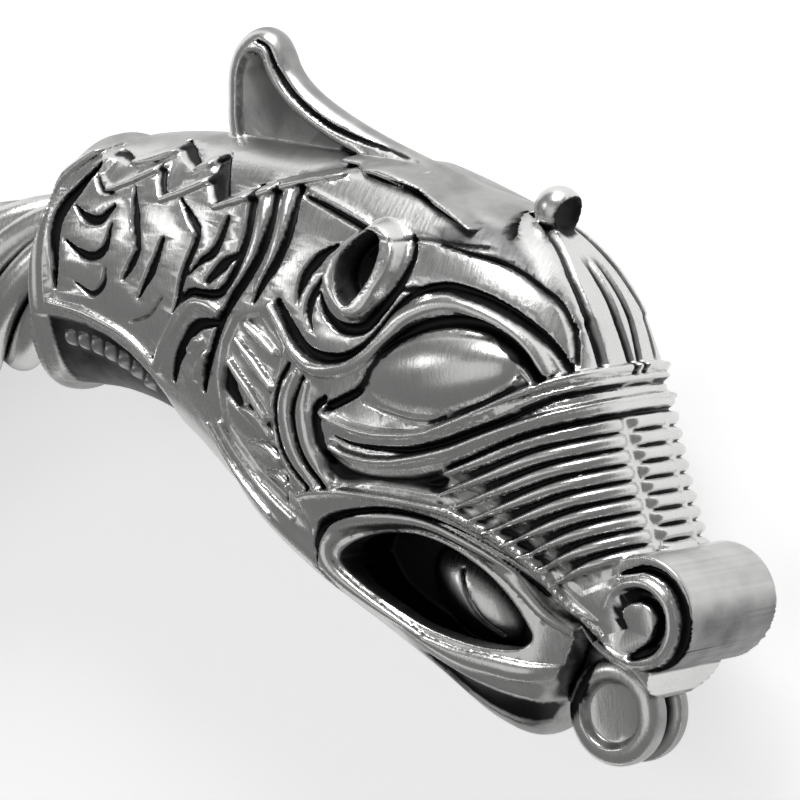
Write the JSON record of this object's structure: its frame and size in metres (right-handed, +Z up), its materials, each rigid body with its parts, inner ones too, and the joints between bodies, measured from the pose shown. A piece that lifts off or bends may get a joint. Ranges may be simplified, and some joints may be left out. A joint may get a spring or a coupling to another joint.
{
  "type": "arm ring",
  "caption": "Penannular arm ring: a twisted body between two open-jawed beast heads with crest, ribbed snout and rolled nose.",
  "frame": {"origin": "middle of the ring's footprint, on the surface that it lies on", "axes": "+Z up, close to the ring's axis; +Y from the gap to the back of the body; +X towards the right head"},
  "size_m": [0.1092, 0.0896, 0.0163],
  "materials": {
    "head_silver": "polished cast silver, blackened in the hollows",
    "body_silver": "drawn silver strands, blackened between them"
  },
  "bodies": {
    "root": {"head_right": "head_silver", "head_left": "head_silver", "core_rod": "body_silver", "strand_1": "body_silver", "strand_2": "body_silver", "strand_3": "body_silver", "strand_4": "body_silver", "strand_5": "body_silver", "strand_6": "body_silver", "strand_7": "body_silver", "strand_8": "body_silver"}
  },
  "joints": []
}
